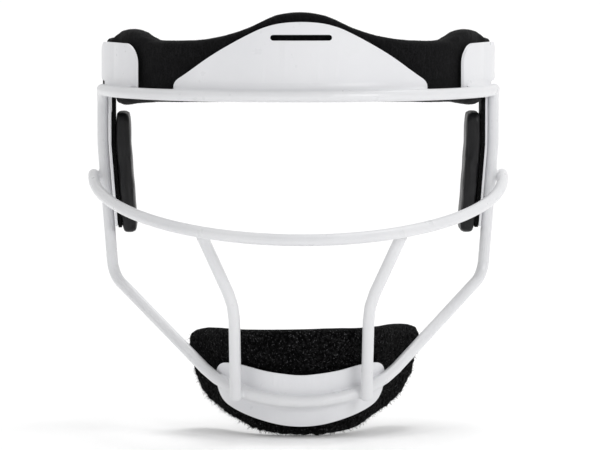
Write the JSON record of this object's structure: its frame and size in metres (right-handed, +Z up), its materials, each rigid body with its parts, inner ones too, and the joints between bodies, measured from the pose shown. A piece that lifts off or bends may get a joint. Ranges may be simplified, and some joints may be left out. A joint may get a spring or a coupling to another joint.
{
  "type": "fielder's face mask",
  "caption": "White wire face guard for ball sports with forehead, chin and side plates, black pull-off pads and a rear strap.",
  "frame": {"origin": "centre of the forehead pad's inner face, where the forehead rests", "axes": "+Z up, the guard faces -Y and the wearer's head is on the +Y side, +X to the viewer's right when facing the guard"},
  "size_m": [0.1952, 0.2506, 0.1909],
  "materials": {
    "coated_wire": "satin",
    "coated_plate": "satin",
    "hook_tape": "matte",
    "brushed_fabric": "matte",
    "fleece": "matte",
    "satin_vinyl": "satin",
    "webbing": "matte",
    "moulded_nylon": "satin"
  },
  "bodies": {
    "guard": {"brow_wire": "coated_wire", "jaw_wire": "coated_wire", "mouth_wire": "coated_wire", "left_upright_wire": "coated_wire", "right_upright_wire": "coated_wire", "forehead_plate": "coated_plate", "left_side_plate": "coated_plate", "right_side_plate": "coated_plate", "chin_plate": "coated_plate", "forehead_hook_tape": "hook_tape", "chin_hook_tape": "hook_tape", "left_side_hook_tape": "hook_tape", "right_side_hook_tape": "hook_tape", "rear_strap": "webbing"},
    "forehead_pad_body": {"forehead_pad": "brushed_fabric"},
    "chin_pad_body": {"chin_pad": "fleece"},
    "left_side_pad_body": {"left_side_pad": "satin_vinyl"},
    "right_side_pad_body": {"right_side_pad": "satin_vinyl"},
    "left_keeper_body": {"left_strap_keeper": "moulded_nylon"},
    "right_keeper_body": {"right_strap_keeper": "moulded_nylon"}
  },
  "joints": [
    {"name": "forehead_pad_pull", "type": "slide", "parent": "guard", "child": "forehead_pad_body", "axis": [0, 1, 0], "range_m": [0, 0.02]},
    {"name": "chin_pad_pull", "type": "slide", "parent": "guard", "child": "chin_pad_body", "axis": [0, 1, 0], "range_m": [0, 0.03]},
    {"name": "left_side_pad_pull", "type": "slide", "parent": "guard", "child": "left_side_pad_body", "axis": [1, 0, 0], "range_m": [0, 0.02]},
    {"name": "right_side_pad_pull", "type": "slide", "parent": "guard", "child": "right_side_pad_body", "axis": [-1, 0, 0], "range_m": [0, 0.02]},
    {"name": "left_keeper_slide", "type": "slide", "parent": "guard", "child": "left_keeper_body", "axis": [0, 1, 0], "range_m": [-0.004, 0.009]},
    {"name": "right_keeper_slide", "type": "slide", "parent": "guard", "child": "right_keeper_body", "axis": [0, 1, 0], "range_m": [-0.004, 0.009]}
  ]
}
